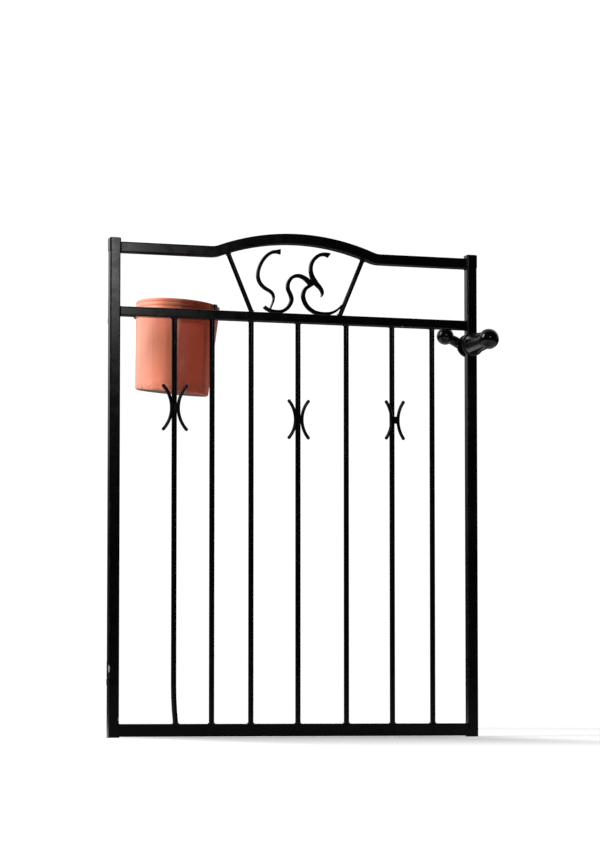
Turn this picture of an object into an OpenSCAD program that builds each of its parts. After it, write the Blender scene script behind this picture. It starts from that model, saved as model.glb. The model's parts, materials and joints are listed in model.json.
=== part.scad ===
// Welded steel garden gate with an arched top rail, scroll panel, bow ornaments,
// a turning ball-knob latch, lift-off hinges and a round pot in a ring holder.
// Millimetres, +Z up, front of the gate towards -Y.
// Origin: centre of the lower hinge plate's bolt pattern, on the plate's back face.

/* [Gate] */
// Width across the two stiles
gate_w = 914; // [780:1:1100]
// Height of the stile tubes
stile_h = 1166; // [960:1:1400]
// Side of the square stile and top rail tube
tube_w = 25; // [20:1:32]
// Wall of the frame tubes
tube_wall = 1.5; // [1.2:0.1:2.5]
// Outside corner radius of the frame tubes
tube_r = 3; // [2.6:0.1:4]
// Height of the bottom rail
bottom_rail_h = 30; // [25:1:40]
// Height of the mid rail
mid_rail_h = 22; // [18:1:30]
// Drop from the top rail's centre line to the mid rail's
mid_rail_drop = 151; // [148:1:170]
// Drop from the stile top to the top rail's centre line
top_rail_drop = 20; // [16:1:24]
// Height of the skirt of a stile cap
cap_h = 31; // [24:1:40]
// Wall of a stile cap
cap_wall = 1; // [0.8:0.1:2]

/* [Arch] */
// Half of the arch's span
arch_half = 199; // [150:1:240]
// Rise of the arch above the straight rail
arch_rise = 39; // [20:1:60]
// Centre-line radius of the bends where the arch meets the straight rail
arch_bend_r = 60; // [40:1:90]

/* [Pickets and ornaments] */
// Diameter of the picket bars
picket_d = 12.7; // [10:0.1:16]
// How far the first picket's foot is set to the right
foot_kick = 5; // [2:0.5:8]
// Height over which the first picket's foot bends
foot_bend_h = 90; // [60:1:140]
// Rod diameter of the bow ornaments
bow_d = 8; // [6:0.5:9]
// How far round towards the picket's front the rods of a bow pair are seated
bow_seat_angle = 37.6; // [30:0.1:45]
// Height between the rod ends of the two small bow pairs
bow_h = 87; // [70:1:110]
// Spread between the rod ends of the middle bow pair
bow_spread = 47.6; // [40:0.1:56]
// Drop from the mid rail's centre line to the centre of the middle bow pair
bow_drop = 242; // [200:1:400]
// Drop from the mid rail's centre line to the centre of the large bow pair
large_bow_drop = 223; // [190:1:400]
// Size of the large bow pair against the small ones
large_bow_scale = 1.17; // [1:0.01:1.3]
// Drop from the mid rail's centre line to the centre of the right bow pair
right_bow_drop = 237; // [200:1:400]
// Spread between the rod ends of the right bow pair
right_bow_spread = 43; // [38:0.1:56]
// How far the right bow pair stands to the right of its picket
right_bow_shift = 4; // [0:0.5:9]
// Diameter of the two sloping brace bars
brace_d = 11; // [8:0.5:14]
// Half of the spread of the braces where they meet the arch
brace_top_half = 168; // [140:1:176]
// Half of the spread of the braces where they stand on the mid rail
brace_foot_half = 110; // [100:1:130]
// Front-to-back depth of the scroll bars
scroll_depth = 10; // [8:0.5:14]

/* [Latch] */
// Drop from the mid rail's centre line to the latch spindle
latch_drop = 47; // [44:1:120]
// Diameter of the latch spindle
spindle_d = 10; // [8:0.5:14]
// Diameter of the front and rear roses
rose_d = 57; // [54:1:70]
// Diameter of the front ball knob
front_ball_d = 49; // [44:1:54]
// Distance from the gate's mid plane to the front ball's centre
front_ball_reach = 124; // [100:1:140]
// Diameter of the front neck where it meets the ball
neck_end_d = 41; // [32:1:43]
// Diameter of the rear ball knob
rear_ball_d = 42; // [36:1:46]
// Distance from the spindle to the rear ball's centre
lever_len = 58; // [50:1:75]
// Angle of the rear lever above the horizontal
lever_angle = 25; // [10:1:30]
// Length of the latch arm from the spindle to its tip
arm_len = 42; // [38:1:60]

/* [Hinges] */
// Height of the lower hinge eye's centre; the upper one is as far below the stile's top
hinge_inset = 157; // [120:1:220]
// Distance from the gate's mid plane back to the hinge pins
hinge_back = 36; // [34:0.5:44]
// Distance from the hinge pins back to the face of the post
post_back = 27; // [26:0.5:34]
// Diameter of the hinge pins
pin_d = 12; // [10:0.5:14]
// Outside diameter of the hinge eyes
eye_d = 22; // [20:0.5:24]
// Height of the hinge eyes
eye_h = 40; // [30:1:60]
// Width of the hinge plates
plate_w = 28; // [26:1:34]
// Height of the hinge plates
plate_h = 110; // [90:1:140]
// Thickness of the hinge plates
plate_t = 6; // [5:0.5:8]
// Distance between the two bolt holes of a hinge plate
plate_pitch = 80; // [60:1:84]
// Diameter of the bolt holes of a hinge plate
plate_hole_d = 9; // [7:0.5:11]

/* [Pot and ring] */
// Outside diameter of the pot at its rim
pot_rim_d = 202; // [180:1:250]
// Outside diameter of the pot at its base
pot_base_d = 176; // [150:1:190]
// Height of the pot
pot_h = 214; // [180:1:260]
// Wall of the pot
pot_wall = 3.2; // [2.6:0.1:5]
// Sideways lean of the pot in its ring
pot_tilt = 4.2; // [0:0.1:6]
// Diameter of the ring's wire
ring_wire_d = 5; // [4:0.5:8]
// Distance of the pot's middle to the left of the gate's middle
pot_left = 261; // [220:1:290]
// Height of the pot's rim centre above the mid rail's centre line
pot_rim_up = 38.5; // [36:0.5:60]

/* [Clearances] */
// Radial clearance of a turning shaft in its bore
running_gap = 0.07; // [0.03:0.01:0.1]
// Radial clearance of a piece fixed in its bore
fixed_gap = 0.02; // [0.01:0.01:0.04]
// Gap between parts that move past each other
moving_gap = 0.3; // [0.2:0.05:0.5]

/* [Hidden] */
$fn = 64;

// Frame
stile_x = (gate_w - tube_w) / 2;
opening_half = gate_w / 2 - tube_w;
half_tube = tube_w / 2;
top_rail_z = stile_h - top_rail_drop;
mid_rail_z = top_rail_z - mid_rail_drop;
mid_rail_top = mid_rail_z + mid_rail_h / 2;
mid_rail_foot = mid_rail_z - mid_rail_h / 2;
cap_clearance = 0.1;
cap_half = half_tube + cap_clearance + cap_wall;
cap_top_t = 2;
cap_dome = 1.6;
top_rail_half = stile_x - cap_half;
plug_wall_gap = 0.1;
plug_depth = 18;
plug_flange = 2;

// Arch: the centre line is a circle, joined to the straight rail by two small bends
arch_r = (arch_half * arch_half + arch_rise * arch_rise) / (2 * arch_rise);
arch_centre_z = top_rail_z + arch_rise - arch_r;
bend_z = top_rail_z + arch_bend_r;
bend_x = sqrt(pow(arch_r + arch_bend_r, 2) - pow(bend_z - arch_centre_z, 2));
arch_angle = atan2(bend_x, bend_z - arch_centre_z);
arch_under_r = arch_r - half_tube;

// Pickets: places as shares of the half opening, left to right
picket_at = [-0.692, -0.479, -0.257, 0.012, 0.292, 0.560, 0.797];
function picket_x(i) = picket_at[i] * opening_half;
foot_bend_r = (foot_bend_h * foot_bend_h + foot_kick * foot_kick) / (2 * foot_kick);

// Bow pairs: each rod is welded to the front shoulder of its picket
bow_seat_r = (picket_d + bow_d) / 2;
bow_waist = 2 * bow_seat_r * cos(bow_seat_angle);
bow_forward = bow_seat_r * sin(bow_seat_angle);
small_bow_z = mid_rail_z - bow_drop;
large_bow_z = mid_rail_z - large_bow_drop;
right_bow_z = mid_rail_z - right_bow_drop;
bow_tip = 0.5;
strap_h = 17;
strap_t = 3;

// Scroll panel: stations are [right of the middle, above the mid rail, half the bar's width]
upper_left_stations = [
    [-39, 148, 6.5], [-43, 148, 5.2], [-50, 147.5, 3.9], [-60, 145.5, 4], [-74, 136, 4],
    [-86, 120, 3.8], [-93.5, 100, 3.6], [-94, 83, 3.6], [-88, 69, 3.6], [-77, 59, 3.5],
    [-65, 52.5, 3.4], [-58, 46, 2.8], [-55.5, 37, 2.3], [-57.5, 26, 1.9], [-62, 15, 1.7],
    [-66, 5, 1.7]
];
lower_left_stations = [
    [-79, 15, 3.6], [-74, 10.5, 3.7], [-63, 5.5, 3.8], [-49, 3.6, 4], [-35, 5, 4.1],
    [-22, 13, 4.2], [-13.5, 25, 4.3], [-11, 36, 4.3], [-14, 47, 4.1], [-19, 57, 3.9],
    [-20.5, 66, 3.9], [-18.5, 76, 4], [-11, 86.5, 4], [-1, 91.5, 4.1], [9, 92, 4.2],
    [20, 88, 4.6], [30, 81, 5.4], [38, 73, 6]
];
upper_right_stations = [
    [83, 144, 6.4], [80, 145.6, 5.2], [70, 147, 4.1], [58, 144, 4.2], [47, 135.5, 4.2],
    [39.5, 124, 4.1], [37, 110, 4.1], [39, 96, 4.6], [44.5, 84, 5.6], [52, 74, 5.2],
    [60, 66, 4.2], [65, 58, 3.6], [66, 51, 2.6], [63.5, 44, 1]
];
lower_right_stations = [
    [41, 74, 4.4], [33, 68.5, 4.3], [24, 62, 4.3], [19, 52, 4.4], [18, 42, 4.4], [22, 29, 4.3],
    [30, 17.5, 4.2], [43, 8, 4.1], [58, 3.8, 4.1], [72, 3.2, 4], [85, 5, 3.6], [97, 10, 3],
    [107, 17.5, 2.3], [116, 27, 1.6]
];
scroll_steps = 4;

// Latch
latch_z = mid_rail_z - latch_drop;
rose_t = 4;
rose_screw_inset = 5;
rose_screw_r = rose_d / 2 - rose_screw_inset;
rose_bevel = 1.2;
housing_t = 9;
housing_wall_t = 3;
housing_rim_w = 9.2;
housing_cavity_r = rose_d / 2 - housing_rim_w;
housing_cavity_d = housing_t - housing_wall_t;
bush_d = 16;
neck_base_d = rose_d - 4;
neck_lip = 4;
neck_step = 1.5;
neck_start = half_tube + rose_t + moving_gap;
neck_end = front_ball_reach - sqrt(pow(front_ball_d / 2, 2) - pow(neck_end_d / 2, 2));
ball_socket = 14;
arm_t = 5;
arm_w = 15;
arm_start = half_tube + housing_t + moving_gap;
arm_rise = 5;
hub_d = 34;
hub_t = 18;
hub_bevel = 3;
hub_start = arm_start + arm_t;
hub_end = hub_start + hub_t;
lever_d = 27;
lever_end_d = 24;
stud_len = 10;
spindle_front = front_ball_reach - ball_socket + 4;
grub_d = 5;
grub_len = 6;
screw_d = 4;
screw_head_d = 8;
screw_head_t = 2.2;
screw_bite = 3;
spring_strip = 0.8;
spring_turns = 3;
spring_depth = housing_cavity_d - 1.6;
spring_inner_r = spindle_d / 2 + running_gap + moving_gap;
spring_outer_r = housing_cavity_r - 0.2;

// Hinges
hinge_offset = 4.5;
hinge_x = -stile_x + hinge_offset;
eye_z = [hinge_inset, stile_h - hinge_inset];
eye_tab_w = 10;
washer_t = 2;
boss_t = 14;
pin_over = 10;
pin_chamfer = 2;
pintle_bar_w = 14;
plate_offset = 9.5;
plate_x = hinge_x + plate_offset;
plate_front = hinge_back + post_back - plate_t;
plate_corner_r = 6;
function boss_top(z) = z - eye_h / 2 - moving_gap - washer_t;
function plate_z(z) = boss_top(z) - boss_t / 2;

// Pot and ring
pot_axis_x = -pot_left;
ring_plate_t = 3;
ring_plate_w = 100;
ring_plate_h = 18;
ring_plate_z = mid_rail_top - ring_plate_h / 2;
ring_up = 9;
ring_z = mid_rail_z + ring_up;
pot_rim_r = pot_rim_d / 2;
pot_base_r = pot_base_d / 2;
ring_level = pot_h - (pot_rim_up - ring_up) / cos(pot_tilt);
pot_taper = (pot_rim_r - pot_base_r) / pot_h;
function wall_r(z) = pot_base_r + pot_taper * z;
lean_side_r = wall_r(ring_level) / (cos(pot_tilt) - pot_taper * sin(pot_tilt));
ring_r = lean_side_r + (moving_gap + ring_wire_d / 2) / cos(pot_tilt + atan(pot_taper));
pot_y = half_tube + ring_plate_t + ring_wire_d / 2 + ring_r;
pot_floor_t = 5;
pot_drain_d = 18;
pot_foot_r = 6;
rim_round = 3;
groove_depth = 0.9;
groove_at = [9, 19, 28];
finger_angle = -45;
finger_w = 12;
finger_t = 3;
finger_up = 23.5;
ring_screw_half = 42;
ring_screw_d = 5;
ring_screw_head_d = 9;
ring_screw_head_t = 3;
ring_screw_len = 12;

black = "#1b1b1c";
knob_black = "#0c0c0d";
steel = "#9a9da0";
nylon = "#2a2a2c";
terracotta = "#b9573d";

// Moves the gate from its own frame (middle of the leaf, floor of the leaf) to the origin
module in_place() {
    translate([-plate_x, -hinge_back - post_back, -plate_z(eye_z[0])]) children();
}

// ---- plain shapes ----

module rounded_rect(w, h, r) {
    square([w - 2 * r, h], center = true);
    square([w, h - 2 * r], center = true);
    for (sx = [-1, 1], sy = [-1, 1])
        translate([sx * (w / 2 - r), sy * (h / 2 - r)]) circle(r = r);
}

module tube_section(w, h) {
    difference() {
        rounded_rect(w, h, tube_r);
        rounded_rect(w - 2 * tube_wall, h - 2 * tube_wall, tube_r - tube_wall);
    }
}

// A level tube from x = a to x = b
module level_tube(a, b, h) {
    translate([a, 0, 0])
        rotate([0, 90, 0])
            linear_extrude(height = b - a)
                tube_section(h, tube_w);
}

// A cylinder along Y from y = a to y = b
module y_rod(a, b, r) {
    translate([0, a, 0]) rotate([-90, 0, 0]) cylinder(h = b - a, r = r);
}

// Turns a flat outline in X and Y up into X and Z, with its depth centred on y = 0
module upright(depth) {
    rotate([90, 0, 0]) linear_extrude(height = depth, center = true) children();
}

// ---- frame ----

module stile_tube() {
    linear_extrude(height = stile_h) tube_section(tube_w, tube_w);
}

module left_stile() {
    color(black) in_place() translate([-stile_x, 0, 0]) stile_tube();
}

module right_stile() {
    color(black) in_place() translate([stile_x, 0, 0])
        difference() {
            stile_tube();
            translate([0, 0, latch_z]) {
                y_rod(-tube_w, tube_w, bush_d / 2 + fixed_gap);
                for (s = [-1, 1])
                    translate([0, 0, s * rose_screw_r])
                        y_rod(-tube_w, tube_w, screw_d / 2 + fixed_gap);
            }
        }
}

module bottom_rail() {
    color(black) in_place() translate([0, 0, bottom_rail_h / 2])
        level_tube(-opening_half, opening_half, bottom_rail_h);
}

module mid_rail() {
    color(black) in_place()
        difference() {
            translate([0, 0, mid_rail_z]) level_tube(-opening_half, opening_half, mid_rail_h);
            for (s = [-1, 1])
                translate([pot_axis_x + s * ring_screw_half, 0, ring_plate_z])
                    y_rod(0, tube_w, ring_screw_d / 2 + fixed_gap);
        }
}

// The top rail's centre line as [x, z, heading]: straight, bend, arch, bend, straight
bend_steps = 6;
arch_steps = 24;
function bend_station(side, h) =
    [side * bend_x + arch_bend_r * sin(h), bend_z - arch_bend_r * cos(h), h];
rail_line = concat(
    [[-top_rail_half, top_rail_z, 0]],
    [for (i = [0 : bend_steps]) bend_station(-1, arch_angle * i / bend_steps)],
    [for (i = [1 : arch_steps - 1])
        let (h = arch_angle * (1 - 2 * i / arch_steps))
            [-arch_r * sin(h), arch_centre_z + arch_r * cos(h), h]],
    [for (i = [0 : bend_steps]) bend_station(1, arch_angle * (i / bend_steps - 1))],
    [[top_rail_half, top_rail_z, 0]]
);

// A square section with round corners, as [along the normal, along Y]
corner_steps = 4;
function section_ring(w, r) = [
    for (corner = [0 : 3], step = [0 : corner_steps])
        let (a = 90 * (corner + step / corner_steps), b = 45 + 90 * corner)
            [sign(cos(b)) * (w / 2 - r) + r * cos(a), sign(sin(b)) * (w / 2 - r) + r * sin(a)]
];
function placed_ring(station, ring) = [
    for (p = ring)
        [station[0] - p[0] * sin(station[2]), p[1], station[1] + p[0] * cos(station[2])]
];

// One bent tube: an outer and an inner skin swept along the centre line, and two end rings
module top_rail() {
    outer = section_ring(tube_w, tube_r);
    inner = section_ring(tube_w - 2 * tube_wall, tube_r - tube_wall);
    n = len(outer);
    last = len(rail_line) - 1;
    skin = n * len(rail_line);
    color(black) in_place()
        polyhedron(
            points = concat(
                [for (s = rail_line, p = placed_ring(s, outer)) p],
                [for (s = rail_line, p = placed_ring(s, inner)) p]
            ),
            faces = concat(
                [for (i = [0 : last - 1], j = [0 : n - 1])
                    let (k = (j + 1) % n, a = i * n)
                        [a + j, a + k, a + n + k, a + n + j]],
                [for (i = [0 : last - 1], j = [0 : n - 1])
                    let (k = (j + 1) % n, a = skin + i * n)
                        [a + k, a + j, a + n + j, a + n + k]],
                [for (j = [0 : n - 1]) let (k = (j + 1) % n) [k, j, skin + j, skin + k]],
                [for (j = [0 : n - 1])
                    let (k = (j + 1) % n, a = last * n)
                        [a + j, a + k, skin + a + k, skin + a + j]]
            )
        );
}

// A cap slips over the stile's end; its top is slightly domed
module stile_cap() {
    skirt_z = stile_h + cap_clearance - cap_h + cap_top_t;
    color(black)
        difference() {
            union() {
                translate([0, 0, skirt_z])
                    linear_extrude(height = cap_h - cap_dome)
                        rounded_rect(2 * cap_half, 2 * cap_half, tube_r + cap_wall);
                hull() {
                    translate([0, 0, skirt_z + cap_h - cap_dome - 0.4])
                        linear_extrude(height = 0.4)
                            rounded_rect(2 * cap_half, 2 * cap_half, tube_r + cap_wall, $fn = 32);
                    translate([0, 0, skirt_z + cap_h - 0.1])
                        linear_extrude(height = 0.1)
                            rounded_rect(2 * cap_half - 5, 2 * cap_half - 5, tube_r, $fn = 32);
                }
            }
            translate([0, 0, skirt_z - 1])
                linear_extrude(height = stile_h + cap_clearance - skirt_z + 1)
                    rounded_rect(
                        tube_w + 2 * cap_clearance, tube_w + 2 * cap_clearance, tube_r + cap_clearance
                    );
        }
}

module left_stile_cap() {
    in_place() translate([-stile_x, 0, 0]) stile_cap();
}

module right_stile_cap() {
    in_place() translate([stile_x, 0, 0]) stile_cap();
}

// Two plugs pressed into the feet of the stiles
module foot_plugs() {
    plug_w = tube_w - 2 * tube_wall - 2 * plug_wall_gap;
    color(nylon) in_place()
        for (s = [-1, 1])
            translate([s * stile_x, 0, 0]) {
                linear_extrude(height = plug_depth)
                    rounded_rect(plug_w, plug_w, tube_r - tube_wall);
                translate([0, 0, -plug_flange])
                    linear_extrude(height = plug_flange)
                        rounded_rect(tube_w, tube_w, tube_r);
            }
}

// ---- pickets ----

module straight_picket(i) {
    color(black) in_place()
        translate([picket_x(i), 0, bottom_rail_h])
            cylinder(h = mid_rail_foot - bottom_rail_h, d = picket_d);
}

// The first picket sweeps to the right over its lowest stretch
module picket_1() {
    color(black) in_place() translate([picket_x(0), 0, 0]) {
        translate([0, 0, bottom_rail_h + foot_bend_h])
            cylinder(h = mid_rail_foot - bottom_rail_h - foot_bend_h, d = picket_d);
        intersection() {
            translate([foot_bend_r, 0, bottom_rail_h + foot_bend_h])
                rotate([90, 0, 0])
                    rotate([0, 0, 180])
                        rotate_extrude(angle = 10, $fn = 180)
                            translate([foot_bend_r, 0]) circle(d = picket_d);
            translate([0, 0, bottom_rail_h + foot_bend_h])
                cube([80, 80, 2 * foot_bend_h], center = true);
        }
    }
}
module picket_2() { straight_picket(1); }
module picket_3() { straight_picket(2); }
module picket_4() { straight_picket(3); }
module picket_5() { straight_picket(4); }
module picket_6() { straight_picket(5); }
module picket_7() { straight_picket(6); }

// ---- bow pairs ----

// One rod bent to an arc, its middle nearest to the picket, with round ends
module bow_rod(h, spread, waist) {
    half_h = h / 2;
    sag = (spread - waist) / 2;
    r = (half_h * half_h + sag * sag) / (2 * sag);
    half_angle = asin(half_h / r);
    translate([waist / 2 + r, 0, 0]) {
        rotate([90, 0, 0]) rotate([0, 0, 180 - half_angle])
            rotate_extrude(angle = 2 * half_angle, $fn = 120)
                translate([r, 0]) circle(d = bow_d, $fn = 32);
        for (s = [-1, 1])
            translate([-r * cos(half_angle), 0, s * half_h]) sphere(d = bow_d + bow_tip, $fn = 32);
    }
}

module bow_pair(h, spread) {
    for (side = [0, 1])
        mirror([side, 0, 0]) bow_rod(h, spread, bow_waist);
}

module left_bow_pair() {
    color(black) in_place()
        translate([picket_x(0), -bow_forward, large_bow_z])
            bow_pair(bow_h * large_bow_scale, bow_spread * large_bow_scale);
}

module middle_bow_pair() {
    color(black) in_place()
        translate([picket_x(3), -bow_forward, small_bow_z]) bow_pair(bow_h, bow_spread);
}

// This pair stands in front of its bar, with its left rod on the bar's front
right_bow_y = sqrt(pow(bow_seat_r, 2) - pow(bow_waist / 2 - right_bow_shift, 2));

module right_bow_pair() {
    color(black) in_place()
        translate([picket_x(5) + right_bow_shift, -right_bow_y, right_bow_z])
            bow_pair(bow_h, right_bow_spread);
}

// Short flat straps that tie the two rods of each pair together
module strap() {
    strap_w = bow_waist - bow_d;
    translate([-strap_w / 2, -strap_t / 2, -strap_h / 2]) cube([strap_w, strap_t, strap_h]);
}

module bow_straps() {
    color(black) in_place() {
        translate([picket_x(0), -picket_d / 2 - strap_t / 2, large_bow_z]) strap();
        translate([picket_x(3), -picket_d / 2 - strap_t / 2, small_bow_z]) strap();
        translate([picket_x(5) + right_bow_shift, -right_bow_y, right_bow_z]) strap();
    }
}

// ---- braces and scrolls ----

module brace_bar() {
    run = brace_top_half - brace_foot_half;
    rise = sqrt(pow(arch_under_r, 2) - pow(brace_top_half, 2)) + arch_centre_z - mid_rail_top;
    lean = atan2(run, rise);
    extra = 20;
    translate([brace_foot_half, 0, mid_rail_top])
        rotate([0, lean, 0])
            translate([0, 0, -extra])
                cylinder(h = rise / cos(lean) + 2 * extra, d = brace_d);
}

module brace() {
    intersection() {
        brace_bar();
        translate([0, 0, arch_centre_z]) y_rod(-tube_w, tube_w, arch_under_r, $fn = 180);
        translate([0, -tube_w, mid_rail_top]) cube([gate_w / 2, 2 * tube_w, stile_h]);
    }
}

module right_brace() {
    color(black) in_place() brace();
}

module left_brace() {
    color(black) in_place() mirror([1, 0, 0]) brace();
}

// A smooth curve through the stations, with their half widths carried along it
function curve_point(a, b, c, d, t) =
    0.5 * (2 * b + (c - a) * t + (2 * a - 5 * b + 4 * c - d) * t * t
        + (3 * b - a - 3 * c + d) * t * t * t);
function curve(p) = [
    for (i = [0 : len(p) - 2], s = [0 : scroll_steps - 1])
        curve_point(
            p[max(i - 1, 0)], p[i], p[i + 1], p[min(i + 2, len(p) - 1)], s / scroll_steps
        ),
    p[len(p) - 1]
];
function heading(c, i) =
    let (a = c[max(i - 1, 0)], b = c[min(i + 1, len(c) - 1)])
        atan2(b[1] - a[1], b[0] - a[0]);
function side_point(c, i, s) =
    [c[i][0] - s * c[i][2] * sin(heading(c, i)), c[i][1] + s * c[i][2] * cos(heading(c, i))];

module bar_outline(stations) {
    c = curve(stations);
    n = len(c) - 1;
    polygon(concat(
        [for (i = [0 : n]) side_point(c, i, 1)],
        [for (i = [n : -1 : 0]) side_point(c, i, -1)]
    ));
}

// Keeps an outline above the mid rail's top face
module above_rail() {
    intersection() {
        children();
        translate([-opening_half, 0]) square([2 * opening_half, stile_h]);
    }
}

module scroll() {
    color(black) in_place() translate([0, 0, mid_rail_top]) upright(scroll_depth) children();
}

module scroll_upper_right() {
    scroll() bar_outline(upper_right_stations);
}

module scroll_lower_left() {
    scroll()
        above_rail()
            difference() {
                bar_outline(lower_left_stations);
                bar_outline(upper_right_stations);
            }
}

module scroll_upper_left() {
    scroll()
        above_rail()
            difference() {
                bar_outline(upper_left_stations);
                bar_outline(lower_left_stations);
            }
}

module scroll_lower_right() {
    difference() {
        scroll()
            above_rail()
                difference() {
                    bar_outline(lower_right_stations);
                    bar_outline(upper_right_stations);
                    bar_outline(lower_left_stations);
                }
        in_place() brace_bar();
    }
}

// ---- hinges ----

// An eye: a barrel on a tab that is welded to the back of the stile
module hinge_eye(z) {
    color(black) in_place() translate([hinge_x, 0, z - eye_h / 2])
        difference() {
            union() {
                translate([0, hinge_back, 0]) cylinder(h = eye_h, d = eye_d);
                translate([-eye_tab_w / 2, half_tube, 0])
                    cube([eye_tab_w, hinge_back - half_tube, eye_h]);
            }
            translate([0, hinge_back, -1]) cylinder(h = eye_h + 2, r = pin_d / 2 + running_gap);
        }
}
module upper_hinge_eye() { hinge_eye(eye_z[1]); }
module lower_hinge_eye() { hinge_eye(eye_z[0]); }

// A pintle: an upright pin on a boss, carried by a bar from the plate
module pintle(z) {
    pin_top = z + eye_h / 2 + pin_over;
    color(black) in_place() translate([hinge_x, hinge_back, 0]) {
        translate([0, 0, boss_top(z) - boss_t]) cylinder(h = boss_t, d = eye_d);
        translate([-pintle_bar_w / 2, 0, boss_top(z) - boss_t])
            cube([pintle_bar_w, post_back - plate_t, boss_t]);
        translate([0, 0, boss_top(z) - 1])
            cylinder(h = pin_top - pin_chamfer - boss_top(z) + 1, d = pin_d);
        translate([0, 0, pin_top - pin_chamfer])
            cylinder(h = pin_chamfer, d1 = pin_d, d2 = pin_d - 2 * pin_chamfer);
    }
}
module upper_pintle() { pintle(eye_z[1]); }
module lower_pintle() { pintle(eye_z[0]); }

module hinge_plate(z) {
    color(black) in_place() translate([plate_x, 0, plate_z(z)])
        difference() {
            translate([0, plate_front + plate_t / 2, 0])
                upright(plate_t) rounded_rect(plate_w, plate_h, plate_corner_r);
            for (s = [-1, 1])
                translate([0, 0, s * plate_pitch / 2])
                    y_rod(plate_front - 1, plate_front + plate_t + 1, plate_hole_d / 2);
        }
}
module upper_hinge_plate() { hinge_plate(eye_z[1]); }
module lower_hinge_plate() { hinge_plate(eye_z[0]); }

// A bearing washer on each boss
module hinge_washers() {
    color(nylon) in_place()
        for (z = eye_z)
            translate([hinge_x, hinge_back, boss_top(z)])
                difference() {
                    cylinder(h = washer_t, d = eye_d);
                    translate([0, 0, -1]) cylinder(h = washer_t + 2, r = pin_d / 2 + fixed_gap);
                }
}

// ---- latch ----

module at_latch() {
    in_place() translate([stile_x, 0, latch_z]) children();
}

module rose_screw_holes(a, b) {
    for (s = [-1, 1])
        translate([0, 0, s * rose_screw_r]) y_rod(a, b, screw_d / 2 + fixed_gap);
}

// A flat disc with a bevelled front edge
module front_rose() {
    color(black) at_latch()
        difference() {
            union() {
                y_rod(-half_tube - rose_t + rose_bevel, -half_tube, rose_d / 2);
                translate([0, -half_tube - rose_t + rose_bevel, 0])
                    rotate([90, 0, 0])
                        cylinder(h = rose_bevel, d1 = rose_d, d2 = rose_d - 2 * rose_bevel);
            }
            y_rod(-tube_w, 0, spindle_d / 2 + moving_gap);
            rose_screw_holes(-half_tube - screw_bite - 0.2, 0);
        }
}

// A shallow housing that holds the return spring against the stile
module rear_rose() {
    color(black) at_latch()
        difference() {
            union() {
                y_rod(half_tube, half_tube + housing_t - rose_bevel, rose_d / 2);
                translate([0, half_tube + housing_t - rose_bevel, 0])
                    rotate([-90, 0, 0])
                        cylinder(h = rose_bevel, d1 = rose_d, d2 = rose_d - 2 * rose_bevel);
            }
            y_rod(half_tube - 1, half_tube + housing_cavity_d, housing_cavity_r);
            y_rod(0, tube_w, spindle_d / 2 + moving_gap);
            rose_screw_holes(0, tube_w);
        }
}

module pan_screw(d, length, head_d, head_t) {
    rotate([90, 0, 0]) {
        translate([0, 0, -length]) cylinder(h = length, d = d);
        difference() {
            union() {
                cylinder(h = head_t * 0.6, d = head_d);
                translate([0, 0, head_t * 0.6])
                    cylinder(h = head_t * 0.4, d1 = head_d, d2 = head_d * 0.7);
            }
            for (a = [0, 90])
                rotate([0, 0, a])
                    translate([-head_d * 0.25, -head_d * 0.05, head_t * 0.5])
                        cube([head_d * 0.5, head_d * 0.1, head_t]);
        }
    }
}

// Two long screws pass from the rear rose through the stile and bite in the front rose
module rose_screws() {
    color(steel) at_latch()
        for (s = [-1, 1])
            translate([0, half_tube + housing_t, s * rose_screw_r])
                mirror([0, 1, 0])
                    pan_screw(
                        screw_d, housing_t + tube_w + screw_bite, screw_head_d, screw_head_t
                    );
}

// A plain bearing tube across the stile
module spindle_bush() {
    color(nylon) at_latch()
        difference() {
            y_rod(-half_tube, half_tube, bush_d / 2);
            y_rod(-tube_w, tube_w, spindle_d / 2 + running_gap);
        }
}

// A flat spiral spring round the spindle
function spiral(r, turn) = [r * cos(turn * 360), r * sin(turn * 360)];
module return_spring() {
    steps = 24 * spring_turns;
    growth = (spring_outer_r - spring_strip - spring_inner_r) / steps;
    color(steel) at_latch()
        translate([0, half_tube + housing_cavity_d / 2, 0])
            upright(spring_depth)
                polygon(concat(
                    [for (i = [0 : steps]) spiral(spring_inner_r + growth * i, i / 24)],
                    [for (i = [steps : -1 : 0])
                        spiral(spring_inner_r + spring_strip + growth * i, i / 24)]
                ));
}

module spindle() {
    color(steel) at_latch() y_rod(-spindle_front, hub_end, spindle_d / 2);
}

// The neck has a lip that covers the rose, and tapers to the ball
module front_neck() {
    span = neck_end - neck_start;
    lip_r = neck_base_d / 2;
    color(knob_black) at_latch()
        rotate([90, 0, 0]) translate([0, 0, neck_start])
            difference() {
                rotate_extrude()
                    polygon([
                        [0, 0], [lip_r, 0], [lip_r, neck_lip - 1], [lip_r - neck_step, neck_lip],
                        [neck_end_d / 2, span], [0, span]
                    ]);
                translate([0, 0, -1]) cylinder(h = span + 2, r = spindle_d / 2 + fixed_gap);
                translate([0, 0, neck_lip + grub_len])
                    rotate([0, 90, 0])
                        cylinder(h = neck_base_d, d = grub_d + 2 * fixed_gap);
            }
}

// A ball knob on the Z axis: cut flat at z = seat, with a blind socket of depth socket_d
module ball_knob(ball_d, centre, seat, socket_d) {
    rotate_extrude($fn = 96)
        difference() {
            translate([0, centre]) circle(d = ball_d, $fn = 96);
            translate([-ball_d, centre - ball_d]) square([ball_d, 2 * ball_d]);
            translate([0, seat - ball_d]) square([ball_d, ball_d]);
            translate([0, seat - 1]) square([spindle_d / 2 + fixed_gap, socket_d + 1]);
        }
}

// The spindle's front end stands in the front ball's socket
module front_knob() {
    color(knob_black) at_latch()
        rotate([90, 0, 0])
            ball_knob(front_ball_d, front_ball_reach, neck_end, spindle_front + moving_gap - neck_end);
}

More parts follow.
